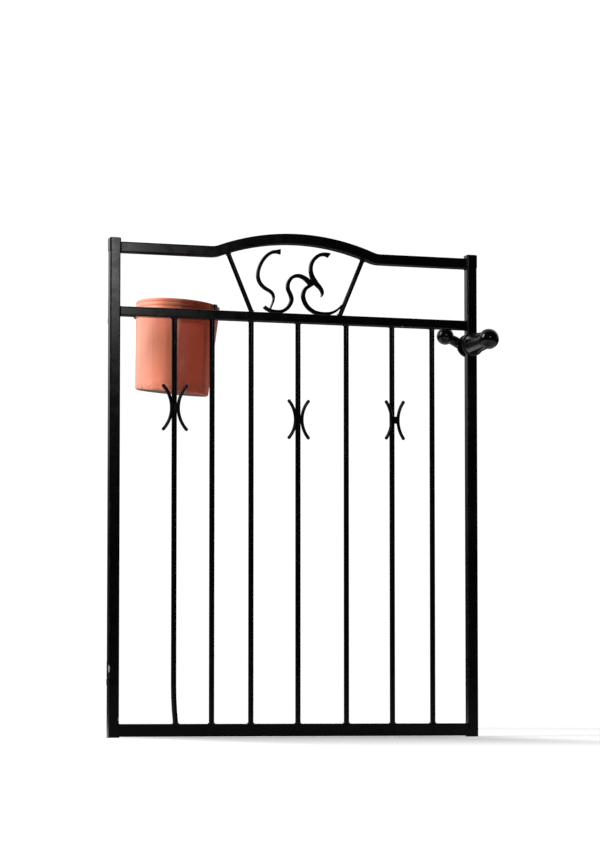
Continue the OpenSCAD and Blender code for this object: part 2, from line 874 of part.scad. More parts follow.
// A flat bar that lies behind the post's keeper when the gate is shut
module latch_arm() {
    tip_r = arm_w / 2 + 1;
    tip = [arm_len - tip_r, arm_rise];
    color(black) at_latch()
        translate([0, arm_start + arm_t / 2, 0])
            upright(arm_t)
                difference() {
                    union() {
                        circle(r = arm_w / 2 + 2);
                        translate(tip) circle(r = tip_r);
                        rotate([0, 0, atan2(tip[1], tip[0])])
                            translate([0, -arm_w / 2]) square([norm(tip), arm_w]);
                    }
                    circle(r = spindle_d / 2 + fixed_gap);
                }
}

// The lever's hub sits on the spindle's end and its round arm ends in the rear ball
module lever_direction() {
    translate([0, (hub_start + hub_end) / 2, 0]) rotate([0, -90 + lever_angle, 0]) children();
}
lever_stop = lever_len - sqrt(pow(rear_ball_d / 2, 2) - pow(lever_end_d / 2, 2));

module rear_lever() {
    color(knob_black) at_latch()
        difference() {
            union() {
                y_rod(hub_start, hub_end - hub_bevel, hub_d / 2);
                translate([0, hub_end - hub_bevel, 0])
                    rotate([-90, 0, 0])
                        cylinder(h = hub_bevel, d1 = hub_d, d2 = hub_d - 2 * hub_bevel);
                lever_direction() cylinder(h = lever_stop, d1 = lever_d, d2 = lever_end_d);
                lever_direction() cylinder(h = lever_stop + stud_len, d = spindle_d);
            }
            y_rod(0, hub_start, hub_d);
            y_rod(0, hub_end + 1, spindle_d / 2 + fixed_gap);
            translate([0, (hub_start + hub_end) / 2, 0])
                rotate([0, 180, 0]) cylinder(h = hub_d, d = grub_d + 2 * fixed_gap);
        }
}

module rear_knob() {
    color(knob_black) at_latch()
        lever_direction() ball_knob(rear_ball_d, lever_len, lever_stop, stud_len + moving_gap);
}

// One grub screw in the neck and one in the lever's hub, each against the spindle
module grub_screws() {
    color(steel) at_latch() {
        translate([spindle_d / 2 + fixed_gap, -neck_start - neck_lip - grub_len, 0])
            rotate([0, 90, 0]) cylinder(h = grub_len, d = grub_d);
        translate([0, (hub_start + hub_end) / 2, -spindle_d / 2 - fixed_gap])
            rotate([0, 180, 0]) cylinder(h = grub_len, d = grub_d);
    }
}

// ---- pot and ring ----

// The pot's own frame: its axis leans to the right, and z = 0 is the pot's base
module at_pot() {
    in_place()
        translate([pot_axis_x, pot_y, ring_z])
            rotate([0, pot_tilt, 0])
                translate([0, 0, -ring_level])
                    children();
}

// Outline of the pot's wall from its foot to its rim, with three shallow grooves under the rim
module pot() {
    inner_top = wall_r(pot_h) - pot_wall;
    inner_floor = wall_r(pot_floor_t) - pot_wall;
    color(terracotta) at_pot()
        rotate_extrude($fn = 128)
            polygon(concat(
                [[pot_drain_d / 2, 0]],
                [for (a = [-90 : 15 : 0])
                    [wall_r(pot_foot_r) - pot_foot_r + pot_foot_r * cos(a),
                        pot_foot_r + pot_foot_r * sin(a)]],
                [for (g = [2, 1, 0], e = [[-2, 0], [-0.8, 1], [0.8, 1], [2, 0]])
                    [wall_r(pot_h - groove_at[g] + e[0]) - groove_depth * e[1],
                        pot_h - groove_at[g] + e[0]]],
                [for (a = [0 : 30 : 90])
                    [wall_r(pot_h) - rim_round + rim_round * cos(a) - 0.4,
                        pot_h - rim_round + rim_round * sin(a)]],
                [[inner_top, pot_h], [inner_floor, pot_floor_t], [pot_drain_d / 2, pot_floor_t]]
            ));
}

// A wire ring round the pot, with one upright finger that steadies the rim
module pot_ring() {
    color(black) in_place() translate([pot_axis_x, pot_y, ring_z]) {
        rotate_extrude($fn = 128) translate([ring_r, 0]) circle(d = ring_wire_d, $fn = 32);
        rotate([0, 0, finger_angle])
            translate([ring_r + ring_wire_d / 2 - 1, -finger_w / 2, -ring_wire_d / 2])
                cube([finger_t, finger_w, finger_up + ring_wire_d / 2]);
    }
}

module ring_plate_holes(r) {
    for (s = [-1, 1])
        translate([s * ring_screw_half, 0, 0]) y_rod(0, 2 * tube_w, r);
}

module pot_ring_plate() {
    color(black) in_place() translate([pot_axis_x, 0, ring_plate_z])
        difference() {
            translate([0, half_tube + ring_plate_t / 2, 0])
                upright(ring_plate_t) rounded_rect(ring_plate_w, ring_plate_h, 4);
            ring_plate_holes(ring_screw_d / 2 + fixed_gap);
        }
}

module ring_screws() {
    color(steel) in_place()
        for (s = [-1, 1])
            translate([
                pot_axis_x + s * ring_screw_half, half_tube + ring_plate_t, ring_plate_z
            ])
                mirror([0, 1, 0])
                    pan_screw(ring_screw_d, ring_screw_len, ring_screw_head_d, ring_screw_head_t);
}

left_stile();
right_stile();
bottom_rail();
mid_rail();
top_rail();
left_stile_cap();
right_stile_cap();
foot_plugs();
picket_1();
picket_2();
picket_3();
picket_4();
picket_5();
picket_6();
picket_7();
left_bow_pair();
middle_bow_pair();
right_bow_pair();
bow_straps();
left_brace();
right_brace();
scroll_upper_left();
scroll_lower_left();
scroll_upper_right();
scroll_lower_right();
upper_hinge_eye();
lower_hinge_eye();
upper_pintle();
lower_pintle();
upper_hinge_plate();
lower_hinge_plate();
hinge_washers();
front_rose();
rear_rose();
rose_screws();
spindle_bush();
return_spring();
spindle();
front_neck();
front_knob();
latch_arm();
rear_lever();
rear_knob();
grub_screws();
pot();
pot_ring();
pot_ring_plate();
ring_screws();
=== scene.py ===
import json
import math
import random

import bmesh
import bpy
from mathutils import Matrix, Vector, noise


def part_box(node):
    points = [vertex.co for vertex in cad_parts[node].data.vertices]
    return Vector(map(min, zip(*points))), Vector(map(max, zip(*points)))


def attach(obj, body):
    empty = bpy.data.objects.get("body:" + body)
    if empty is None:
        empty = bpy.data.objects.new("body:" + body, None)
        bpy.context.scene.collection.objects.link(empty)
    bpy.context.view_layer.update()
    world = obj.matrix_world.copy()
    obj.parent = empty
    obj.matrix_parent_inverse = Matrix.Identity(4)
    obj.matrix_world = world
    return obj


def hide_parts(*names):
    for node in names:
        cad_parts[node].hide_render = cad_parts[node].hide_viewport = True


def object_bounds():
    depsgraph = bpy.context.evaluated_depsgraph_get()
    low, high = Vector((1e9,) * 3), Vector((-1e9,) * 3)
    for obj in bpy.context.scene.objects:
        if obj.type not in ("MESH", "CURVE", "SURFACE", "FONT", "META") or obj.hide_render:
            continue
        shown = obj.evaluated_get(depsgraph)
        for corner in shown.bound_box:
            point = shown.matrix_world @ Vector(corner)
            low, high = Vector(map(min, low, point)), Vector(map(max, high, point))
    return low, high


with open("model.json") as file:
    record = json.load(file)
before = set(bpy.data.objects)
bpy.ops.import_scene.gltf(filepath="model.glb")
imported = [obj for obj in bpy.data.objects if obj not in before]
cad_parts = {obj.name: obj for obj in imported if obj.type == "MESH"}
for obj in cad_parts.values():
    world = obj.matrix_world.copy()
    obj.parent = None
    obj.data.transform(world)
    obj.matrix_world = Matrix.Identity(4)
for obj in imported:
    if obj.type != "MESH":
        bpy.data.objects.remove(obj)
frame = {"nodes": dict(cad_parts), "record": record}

cad_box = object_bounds()
rng = random.Random(12)
MM = 0.001


# ---- shader writing ----


class Value:
    """A node socket that carries a number, so that masks are written as plain sums."""

    def __init__(self, nodes, socket):
        self.nodes = nodes
        self.socket = socket

    def __add__(self, other):
        return self.nodes.math("ADD", self, other)

    __radd__ = __add__

    def __sub__(self, other):
        return self.nodes.math("SUBTRACT", self, other)

    def __rsub__(self, other):
        return self.nodes.math("SUBTRACT", other, self)

    def __mul__(self, other):
        return self.nodes.math("MULTIPLY", self, other)

    __rmul__ = __mul__

    def __truediv__(self, other):
        return self.nodes.math("DIVIDE", self, other)

    def __rtruediv__(self, other):
        return self.nodes.math("DIVIDE", other, self)

    def __pow__(self, other):
        return self.nodes.math("POWER", self, other)

    def __abs__(self):
        return self.nodes.math("ABSOLUTE", self)

    def over(self, low, high, least=0.0, most=1.0):
        """The least value below low, the most above high, smooth between."""
        limits = {"From Min": low, "From Max": high, "To Min": least, "To Max": most}
        node = self.nodes.add(
            "ShaderNodeMapRange",
            {"interpolation_type": "SMOOTHSTEP"},
            {"Value": self, **limits},
        )
        return Value(self.nodes, node.outputs[0])


class Nodes:
    """An emptied node tree and the few ways in which it is filled."""

    def __init__(self, tree):
        self.tree = tree
        self.tree.nodes.clear()

    def add(self, kind, settings=None, inputs=None):
        """Any node: its type, its settings, then the values or links of its sockets."""
        node = self.tree.nodes.new(kind)
        for key, value in (settings or {}).items():
            setattr(node, key, value)
        for key, value in (inputs or {}).items():
            self.feed(node.inputs[key], value)
        return node

    def feed(self, socket, value):
        if isinstance(value, Value):
            value = value.socket
        if isinstance(value, bpy.types.NodeSocket):
            self.tree.links.new(value, socket)
        elif socket.type == "RGBA" and len(value) == 3:
            socket.default_value = (*value, 1.0)
        else:
            socket.default_value = value

    def math(self, operation, *values):
        node = self.add(
            "ShaderNodeMath", {"operation": operation}, dict(enumerate(values))
        )
        return Value(self, node.outputs[0])

    def split(self, vector):
        """The three parts of a vector."""
        node = self.add("ShaderNodeSeparateXYZ", {}, {0: vector})
        return [Value(self, node.outputs[i]) for i in range(3)]


class Finish(Nodes):
    """A material, its Principled shader and the nodes that vary it."""

    def __init__(self, name, **constants):
        self.material = bpy.data.materials.new(name)
        self.material.use_nodes = True
        super().__init__(self.material.node_tree)
        self.shader = self.add("ShaderNodeBsdfPrincipled", {}, constants)
        surface = {"Surface": self.shader.outputs[0]}
        self.add("ShaderNodeOutputMaterial", {}, surface)
        self.place = self.add("ShaderNodeTexCoord").outputs["Object"]
        self.x, self.y, self.z = self.split(self.place)

    def noise(self, scale, detail=2.0, roughness=0.5, stretch=None, shift=(0, 0, 0)):
        """Noise with features about 1/scale metres wide.

        A stretch below 1 draws them out along that axis."""
        place = self.place
        if stretch or any(shift):
            place = self.add(
                "ShaderNodeMapping",
                {},
                {"Vector": place, "Scale": stretch or (1, 1, 1), "Location": shift},
            ).outputs[0]
        node = self.add(
            "ShaderNodeTexNoise",
            {},
            {"Vector": place, "Scale": scale, "Detail": detail, "Roughness": roughness},
        )
        return Value(self, node.outputs[0])

    def cells(self, scale):
        """Distance from the nearest of many scattered points."""
        node = self.add(
            "ShaderNodeTexVoronoi", {}, {"Vector": self.place, "Scale": scale}
        )
        return Value(self, node.outputs[0])

    def facing(self, axis):
        """How far the surface faces along +X, +Y or +Z, from -1 to 1."""
        return self.split(self.add("ShaderNodeNewGeometry").outputs["Normal"])[axis]

    def blend(self, factor, low, high):
        """A colour mixed from low to high, each of which is a colour or another blend."""
        node = self.add("ShaderNodeMix", {"data_type": "RGBA"})
        self.feed(node.inputs[0], factor)
        self.feed(node.inputs[6], low)
        self.feed(node.inputs[7], high)
        return node.outputs[2]

    def bump(self, height, depth, strength=1.0, below=None):
        """Relief of that depth in metres, on top of another bump if one is given."""
        inputs = {"Height": height, "Distance": depth, "Strength": strength}
        if below is not None:
            inputs["Normal"] = below
        return self.add("ShaderNodeBump", {}, inputs).outputs[0]

    def set(self, **inputs):
        for key, value in inputs.items():
            self.feed(self.shader.inputs[key.replace("_", " ")], value)
        return self.material


UP = 2  # the axis that facing() takes
BLACK = (0.0016, 0.0016, 0.0018)
WORN_BLACK = (0.0032, 0.0032, 0.0034)
RUBBED = (0.016, 0.0155, 0.015)
DUST = (0.055, 0.052, 0.047)
BARE = (0.22, 0.21, 0.20)


def powder_coat(name, edge=None, chips=(), rough=(0.15, 0.21)):
    """Semi-gloss black powder coat: orange peel, dust on top, rubbed edges and chips.

    edge is (axis a, its centre, axis b, its centre, half of the tube's side), and a
    chip is (x, y, z, its radius)."""
    f = Finish(name, IOR=1.2)
    cloud = f.noise(9, 3)
    patch = f.noise(60, 3, shift=(3.1, 0.7, 1.9))
    dust = f.facing(UP).over(0.55, 0.95) * f.noise(120, 4).over(0.42, 0.7)
    colour = f.blend(cloud.over(0.35, 0.7), BLACK, WORN_BLACK)
    colour = f.blend(dust * 0.35, colour, DUST)
    roughness = patch.over(0.3, 0.7) * (rough[1] - rough[0]) + rough[0] + dust * 0.25
    peel = f.noise(650, 1.5, 0.4)
    relief = f.bump(peel, 0.05 * MM, 0.05)
    metal = None
    if edge:
        a, at_a, b, at_b, half = edge
        axes = {"x": f.x, "y": f.y, "z": f.z}
        corner = abs(axes[a] - at_a) + abs(axes[b] - at_b)
        rim = corner.over(2 * half - 3.2 * MM, 2 * half - 1.9 * MM)
        rub = rim * f.noise(35, 4, 0.6, shift=(0.2, 5.0, 0.4)).over(0.52, 0.66)
        roughness = roughness + rub * 0.18
        colour = f.blend(rub * 0.5, colour, RUBBED)
        flake = rim * f.noise(150, 3, 0.6, shift=(9.0, 2.0, 4.0)).over(0.71, 0.73)
        colour = f.blend(flake * 0.8, colour, BARE)
        metal = flake
    for x, y, z, size in chips:
        away = (
            ((f.x - x) / 0.9) ** 2.0 + (f.y - y) ** 2.0 + ((f.z - z) / 2.2) ** 2.0
        ) ** 0.5
        ragged = away + (f.noise(420, 3) - 0.5) * size * 0.9
        spot = 1 - ragged.over(size * 0.85, size)
        colour = f.blend(spot, colour, BARE)
        roughness = roughness + spot * 0.2
        relief = f.bump(1 - spot, 0.12 * MM, 0.8, relief)
    inputs = {"Base_Color": colour, "Roughness": roughness, "Normal": relief}
    if metal is not None:
        inputs["Metallic"] = metal * 0.6
    return f.set(**inputs)


def enamel(name, rough=(0.16, 0.26)):
    """Smooth black enamel of the latch: handled, so it has faint smears and hairlines."""
    f = Finish(name, IOR=1.28)
    smear = f.noise(38, 4, 0.6).over(0.35, 0.7)
    hair = f.noise(900, 2, 0.5, stretch=(0.08, 1, 1)).over(0.62, 0.70)
    colour = f.blend(smear, (0.0035, 0.0035, 0.0038), (0.007, 0.0068, 0.0066))
    roughness = smear * (rough[1] - rough[0]) + rough[0] + hair * 0.08
    relief = f.bump(f.noise(300, 2), 0.03 * MM, 0.35)
    return f.set(Base_Color=colour, Roughness=roughness, Normal=relief)


def polished_ball(name):
    """Polished black ball: nearly a mirror, with faint rubs where hands close on it."""
    f = Finish(name, IOR=1.28)
    rub = f.noise(55, 4, 0.55).over(0.45, 0.72)
    colour = f.blend(rub, (0.0022, 0.0022, 0.0024), (0.0048, 0.0046, 0.0045))
    roughness = rub * 0.10 + 0.09
    relief = f.bump(f.noise(240, 2), 0.02 * MM, 0.2)
    return f.set(Base_Color=colour, Roughness=roughness, Normal=relief)


def zinc_steel(name):
    """Zinc-plated steel: drawn grain, dull patches and a little white bloom."""
    f = Finish(name, Metallic=1.0)
    grain = f.noise(1400, 3, 0.6, stretch=(1, 0.06, 1))
    bloom = f.noise(160, 4).over(0.55, 0.75)
    colour = f.blend(grain, (0.30, 0.31, 0.32), (0.50, 0.51, 0.52))
    colour = f.blend(bloom * 0.5, colour, (0.55, 0.55, 0.53))
    roughness = grain * 0.18 + 0.28 + bloom * 0.22
    relief = f.bump(grain, 0.02 * MM, 0.4)
    return f.set(Base_Color=colour, Roughness=roughness, Normal=relief)


def nylon(name):
    """Moulded black nylon: fine spark texture and scuffed high spots."""
    f = Finish(name)
    scuff = f.noise(220, 4).over(0.5, 0.72)
    colour = f.blend(scuff, (0.008, 0.008, 0.009), (0.03, 0.03, 0.03))
    roughness = scuff * 0.2 + 0.42
    relief = f.bump(f.cells(1800), 0.04 * MM, 0.5)
    return f.set(Base_Color=colour, Roughness=roughness, Normal=relief)


# ---- the pot's own place ----

pot_low, pot_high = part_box("pot")
pot_lift = next(
    joint
    for joint in frame["record"]["behaviour"]["joints"]
    if joint["name"] == "pot_lift"
)
pot_axis = Vector(pot_lift["axis"]).normalized()
POT_H = 214 * MM
POT_RIM_R = 101 * MM
POT_BASE_R = 88 * MM
POT_WALL = 3.2 * MM
POT_SAG = 8 * MM
DRAIN_R = 9 * MM
RIM_INSET = 0.4 * MM
SOLID_RIM_ROUND = 3.4 * MM
FOOT_ROUND = 6 * MM
FLOOR_T = 5 * MM
FLOOR_UP = 0.6 * MM
GROOVE_DROPS = (28, 19, 9)
GROOVE_SHAPE = ((-2.6, 0), (-1.3, 0.35), (-0.5, 1), (0.5, 1), (1.3, 0.35), (2.6, 0))
GROOVE_DEPTH = 1.1 * MM
RIM_ROUND = 2.6 * MM
# where round the pot in degrees, how far up, its reach and its depth in mm
DENTS = (
    (232, 26, 17, 1.5),
    (216, 24, 13, 1.2),
    (246, 34, 20, 1.0),
    (268, 74, 24, 1.4),
    (182, 120, 55, 0.9),
    (330, 60, 50, 1.0),
    (60, 90, 60, 1.2),
)
pot_foot = Vector(
    (
        pot_high.x - POT_H * pot_axis.x - (POT_RIM_R - RIM_INSET) * pot_axis.z,
        (pot_low.y + pot_high.y) / 2,
        pot_high.z - POT_H * pot_axis.z - (POT_RIM_R - SOLID_RIM_ROUND) * pot_axis.x,
    )
)


def turn_to(direction):
    """The turn that lays the Z axis along a direction."""
    return Vector((0, 0, 1)).rotation_difference(direction).to_matrix().to_4x4()


pot_place = Matrix.Translation(pot_foot) @ turn_to(pot_axis)

# painted light and shade: a lit and a shaded copy of the clay colour, laid on by angle
# round the pot
PAINTED_SHADE_CLAY = (0.480, 0.070, 0.035), (0.580, 0.102, 0.054)
PAINTED_LIT_CLAY = (0.680, 0.255, 0.170), (0.760, 0.335, 0.242)
PAINTED_WARM_CLAY = (0.850, 0.235, 0.130)
STREAK_CLAY = (0.430, 0.130, 0.080)
SPECK_CLAY = (0.30, 0.10, 0.07)
SOIL = (0.20, 0.075, 0.05)
PAINTED_UNDER_SHADE = (0.030, 0.012, 0.009)


def terracotta(name):
    """Terracotta-coloured satin plastic, with painted light on the side towards the hinges
    and painted shade on the rest.
    """
    f = Finish(name, **{"Specular IOR Level": 0.22})
    around = f.add(
        "ShaderNodeMapping",
        {"vector_type": "POINT"},
        {"Vector": f.place, "Location": tuple(-pot_foot)},
    ).outputs[0]
    x, y, up = f.split(around)
    angle = f.math("ARCTAN2", y, x - up * (pot_axis.x / pot_axis.z))
    wave = (f.noise(14, 3) - 0.5) * 0.20
    # painted light: the pale lit side runs from the back left round to the front left; the
    # rest of the pot is painted shade
    painted_lit_side = 1 - (angle + wave).over(-1.86, -1.70) * (1 - angle.over(1.9, 2.6))
    cloud = f.noise(22, 5, 0.6)
    colour = f.blend(painted_lit_side, f.blend(cloud, *PAINTED_SHADE_CLAY), f.blend(cloud, *PAINTED_LIT_CLAY))
    # painted light: a warmer, deeper band on the lit side just before it gives way to the
    # painted shade
    painted_warm_band = (angle + wave).over(-2.75, -2.15) * painted_lit_side
    colour = f.blend(painted_warm_band * 0.8, colour, PAINTED_WARM_CLAY)
    streak = f.noise(70, 3, 0.5, stretch=(1, 1, 0.06)).over(0.50, 0.72)
    colour = f.blend(streak * 0.30, colour, STREAK_CLAY)
    foot = 1 - up.over(4 * MM, 30 * MM)
    soil = foot * f.noise(90, 4).over(0.35, 0.7)
    colour = f.blend(soil * 0.5, colour, SOIL)
    # painted shade: faces that look down are darkened nearly to black
    under = 1 - f.facing(UP).over(-0.97, -0.80)
    colour = f.blend(under * 0.93, colour, PAINTED_UNDER_SHADE)
    speck = 1 - f.cells(260).over(0.03, 0.09)
    colour = f.blend(speck * 0.25, colour, SPECK_CLAY)
    roughness = f.noise(45, 4).over(0.3, 0.7) * 0.16 + 0.33 + foot * 0.15
    relief = f.bump(f.noise(60, 3), 0.5 * MM, 0.25)
    relief = f.bump(f.noise(520, 3, 0.6), 0.06 * MM, 0.5, relief)
    return f.set(Base_Color=colour, Roughness=roughness, Normal=relief)


# ---- materials on the frame's nodes ----


def middle(node):
    low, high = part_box(node)
    return (low + high) / 2


def upright_edges(node):
    low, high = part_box(node)
    centre = middle(node)
    return ("x", centre.x, "y", centre.y, (high.x - low.x) / 2)


def level_edges(node):
    low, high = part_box(node)
    centre = middle(node)
    return ("y", centre.y, "z", centre.z, (high.y - low.y + high.z - low.z) / 4)


left_low, left_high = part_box("left_stile")
CHIP_UP = 158 * MM
chip = (left_low.x, left_low.y + 3 * MM, left_low.z + CHIP_UP, 4.2 * MM)
knock = (left_high.x - 2 * MM, left_low.y, left_low.z + 41 * MM, 1.8 * MM)

coat_bars = powder_coat("powder_coat_bars")
coat_welds = powder_coat("powder_coat_welds", rough=(0.26, 0.40))
pot_plastic = terracotta("terracotta_plastic")

FINISH_OF = {
    "left_stile": powder_coat(
        "powder_coat_left_stile", upright_edges("left_stile"), [chip, knock]
    ),
    "right_stile": powder_coat("powder_coat_right_stile", upright_edges("right_stile")),
    "bottom_rail": powder_coat("powder_coat_bottom_rail", level_edges("bottom_rail")),
    "mid_rail": powder_coat("powder_coat_mid_rail", level_edges("mid_rail")),
}
SLOT_FINISH = {
    "gate_black": coat_bars,
    "latch_black": enamel("latch_enamel"),
    "knob_black": polished_ball("knob_polish"),
    "zinc_steel": zinc_steel("zinc_steel"),
    "nylon_black": nylon("moulded_nylon"),
    "terracotta": pot_plastic,
}
for part in frame["record"]["subparts"]:
    name = part["node"]
    finish = FINISH_OF.get(name) or SLOT_FINISH[part["material_slot"]]
    mesh = frame["nodes"][name].data
    mesh.materials.clear()
    mesh.materials.append(finish)


# ---- modelling helpers ----


def new_piece(name, bm, body, finish):
    """Turns a bmesh in the row frame into a piece that rides on a body."""
    bmesh.ops.remove_doubles(bm, verts=bm.verts, dist=1e-6)
    bmesh.ops.recalc_face_normals(bm, faces=bm.faces)
    mesh = bpy.data.meshes.new(name)
    bm.to_mesh(mesh)
    bm.free()
    mesh.polygons.foreach_set("use_smooth", [True] * len(mesh.polygons))
    piece = bpy.data.objects.new(name, mesh)
    bpy.context.scene.collection.objects.link(piece)
    mesh.materials.append(finish)
    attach(piece, body)
    return piece


# ---- the pot ----


def pot_wall(up):
    return POT_BASE_R + (POT_RIM_R - POT_BASE_R) * up / POT_H


def pot_profile():
    """(radius, height) from under the drain hole, up the outside and down inside."""
    outline = [(DRAIN_R, 2 * FLOOR_UP), (DRAIN_R + 2 * MM, FLOOR_UP)]
    outline += [(r * MM, FLOOR_UP) for r in (24, 42, 60)]
    outline += [(POT_BASE_R - 12 * MM, FLOOR_UP), (POT_BASE_R - 10.5 * MM, 0.0)]
    corner_r = pot_wall(FOOT_ROUND) - FOOT_ROUND
    for i in range(1, 7):
        a = math.radians(15 * i - 90)
        outline.append(
            (corner_r + FOOT_ROUND * math.cos(a), FOOT_ROUND * (1 + math.sin(a)))
        )
    plain_top = POT_H - GROOVE_DROPS[0] * MM - 4 * MM
    rows = 26
    for i in range(1, rows):
        up = FOOT_ROUND + (plain_top - FOOT_ROUND) * i / rows
        outline.append((pot_wall(up), up))
    for drop in GROOVE_DROPS:
        for step, depth in GROOVE_SHAPE:
            up = POT_H - drop * MM + step * MM
            outline.append((pot_wall(up) - GROOVE_DEPTH * depth, up))
        outline.append((pot_wall(up + 2 * MM), up + 2 * MM))
    lip_r = pot_wall(POT_H) - RIM_INSET - RIM_ROUND
    for i in range(7):
        a = math.radians(15 * i)
        outline.append(
            (lip_r + RIM_ROUND * math.cos(a), POT_H - RIM_ROUND * (1 - math.sin(a)))
        )
    inner_top = POT_H - 1.0 * MM
    outline.append((pot_wall(POT_H) - POT_WALL, inner_top))
    rows = 15
    for i in range(1, rows + 1):
        up = inner_top + (FLOOR_T + 4 * MM - inner_top) * i / rows
        outline.append((pot_wall(up) - POT_WALL, up))
    outline.append((pot_wall(FLOOR_T) - POT_WALL - 4 * MM, FLOOR_T))
    outline += [(r * MM, FLOOR_T) for r in (60, 36, 18)]
    outline.append((DRAIN_R, FLOOR_T))
    return outline


def spin_ring(bm, outline, steps):
    """A full ring from a closed outline of (radius, height) about the Z axis."""
    verts = [bm.verts.new((r, 0, z)) for r, z in outline]
    edges = [bm.edges.new((a, b)) for a, b in zip(verts, verts[1:] + verts[:1])]
    bmesh.ops.spin(
        bm,
        geom=verts + edges,
        cent=(0, 0, 0),
        axis=(0, 0, 1),
        angle=math.tau,
        steps=steps,
        use_merge=True,
        use_duplicate=False,
    )


def make_pot():
    bm = bmesh.new()
    spin_ring(bm, pot_profile(), 160)
    bmesh.ops.remove_doubles(bm, verts=bm.verts, dist=1e-6)
    # soft dents: the wall is thin and has been handled, most of all near its foot
    for v in bm.verts:
        angle = math.atan2(v.co.y, v.co.x) % math.tau
        radius = math.hypot(v.co.x, v.co.y)
        if radius < 60 * MM:
            continue
        inward = 0.0
        for at, up, reach, depth in DENTS:
            turned = (angle - math.radians(at) + math.pi) % math.tau - math.pi
            apart = (turned * radius) ** 2 + (v.co.z - up * MM) ** 2
            inward += depth * MM * math.exp(-2.2 * apart / (reach * MM) ** 2)
        spot = Vector((math.cos(angle) * 1.3, math.sin(angle) * 1.3, v.co.z * 9))
        inward += (0.25 + 0.35 * noise.noise(spot)) * MM
        scale = (radius - inward) / radius
        v.co.x *= scale
        v.co.y *= scale
    # the foot has sagged a little at the front
    for v in bm.verts:
        low = 1 - min(1.0, v.co.z / (90 * MM))
        v.co.z += POT_SAG * low * low * v.co.y / POT_BASE_R
    bmesh.ops.transform(bm, matrix=pot_place, verts=bm.verts)
    piece = new_piece("moulded_pot", bm, "pot", pot_plastic)
    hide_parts("pot")


make_pot()


# ---- weld beads ----

BEAD_STEPS = 30
BEAD_SIDES = 7
BEAD_PITCH = 1.6 * MM
BEAD_INSET = 2.2 * MM
BURIED = 0.35 * MM
RIPPLE = 0.10
PICKET_TOP_BEAD = 2.6 * MM
PICKET_FOOT_BEAD = 3.0 * MM
BRACE_BEAD = 2.6 * MM
RAIL_BEAD = 1.6 * MM
TOP_RAIL_BEAD = 2.0 * MM
HINGE_BEAD = 2.0 * MM
PANEL_BEAD = 1.5 * MM
PLATE_BEAD = 1.6 * MM
WAIST_HALF = 5.2 * MM
TAB_HALF = 5 * MM
BAR_HALF = 7 * MM
BOSS_T = 14 * MM


def weld_ring(bm, centre, radius, leg, up=1, turn=None):
    """A rippled fillet round a bar: it lies on a face and climbs the bar towards up."""
    outline = [
        (radius - BURIED, leg * up),
        (radius + leg * 0.28, leg * 0.80 * up),
        (radius + leg * 0.62, leg * 0.48 * up),
        (radius + leg, 0.0),
        (radius + leg * 0.6, -BURIED * up),
        (radius - BURIED, -BURIED * up),
    ]
    start = len(bm.verts)
    spin_ring(bm, outline, BEAD_STEPS)
    ring = list(bm.verts)[start:]
    phase = rng.uniform(0, math.tau)
    for v in ring:
        r = math.hypot(v.co.x, v.co.y)
        if r <= radius:
            continue
        angle = math.atan2(v.co.y, v.co.x)
        ripple = math.sin(angle * 9 + phase)
        swell = 1 + RIPPLE * ripple + RIPPLE * math.sin(angle * 2 + phase)
        out = radius + (r - radius) * swell
        v.co.x *= out / r
        v.co.y *= out / r
        v.co.z *= swell
    place = Matrix.Translation(Vector(centre))
    if turn is not None:
        place = place @ turn
    bmesh.ops.transform(bm, matrix=place, verts=ring)


def weld_line(bm, start, end, radius):
    """A rippled bead from start to end, thin at both ends, drawn out ring by ring."""
    start, end = Vector(start), Vector(end)
    along = end - start
    count = max(4, int(along.length / BEAD_PITCH))
    turn = turn_to(along.normalized())
    phase = rng.uniform(0, math.tau)

    def width(i):
        t = i / count
        ends = min(1.0, math.sin(math.pi * min(max(t, 0.02), 0.98)) * 2.6)
        return radius * (0.45 + 0.55 * ends) * (1 + 0.11 * math.sin(i * 2.1 + phase))

    made = bmesh.ops.create_circle(
        bm,
        cap_ends=True,
        segments=BEAD_SIDES,
        radius=width(0),
        matrix=Matrix.Translation(start) @ turn,
    )
    face = made["verts"][0].link_faces[0]
    for i in range(1, count + 1):
        grown = bmesh.ops.extrude_face_region(bm, geom=[face], use_keep_orig=i == 1)
        verts = [g for g in grown["geom"] if isinstance(g, bmesh.types.BMVert)]
        new_face = [g for g in grown["geom"] if isinstance(g, bmesh.types.BMFace)][0]
        if i > 1 and face.is_valid:
            bmesh.ops.delete(bm, geom=[face], context="FACES_ONLY")
        face = new_face
        centre = start + along * ((i - 1) / count)
        bmesh.ops.translate(bm, verts=verts, vec=along / count)
        bmesh.ops.scale(
            bm,
            vec=(width(i) / width(i - 1),) * 3,
            space=Matrix.Translation(-(centre + along / count)),
            verts=verts,
        )


def weld_box(bm, centre, half_y, half_z, radius):
    """Four beads round the end of a level tube, in the plane x = centre.x."""
    end_y, end_z = half_y - BEAD_INSET, half_z - BEAD_INSET
    for side in (-1, 1):
        y, z = side * half_y, side * half_z
        for run in (((0, y, -end_z), (0, y, end_z)), ((0, -end_y, z), (0, end_y, z))):
            start, end = (centre + Vector(point) for point in run)
            weld_line(bm, start, end, radius)


picket_welds = bmesh.new()
for i in range(1, 8):
    low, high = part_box(f"picket_{i}")
    radius = (high.y - low.y) / 2
    y = (low.y + high.y) / 2
    top_x = low.x + radius if i == 1 else (low.x + high.x) / 2
    foot_x = high.x - radius
    weld_ring(picket_welds, (top_x, y, high.z), radius, PICKET_TOP_BEAD, -1)
    weld_ring(picket_welds, (foot_x, y, low.z), radius, PICKET_FOOT_BEAD, 1)
new_piece("picket_welds", picket_welds, "leaf", coat_welds)

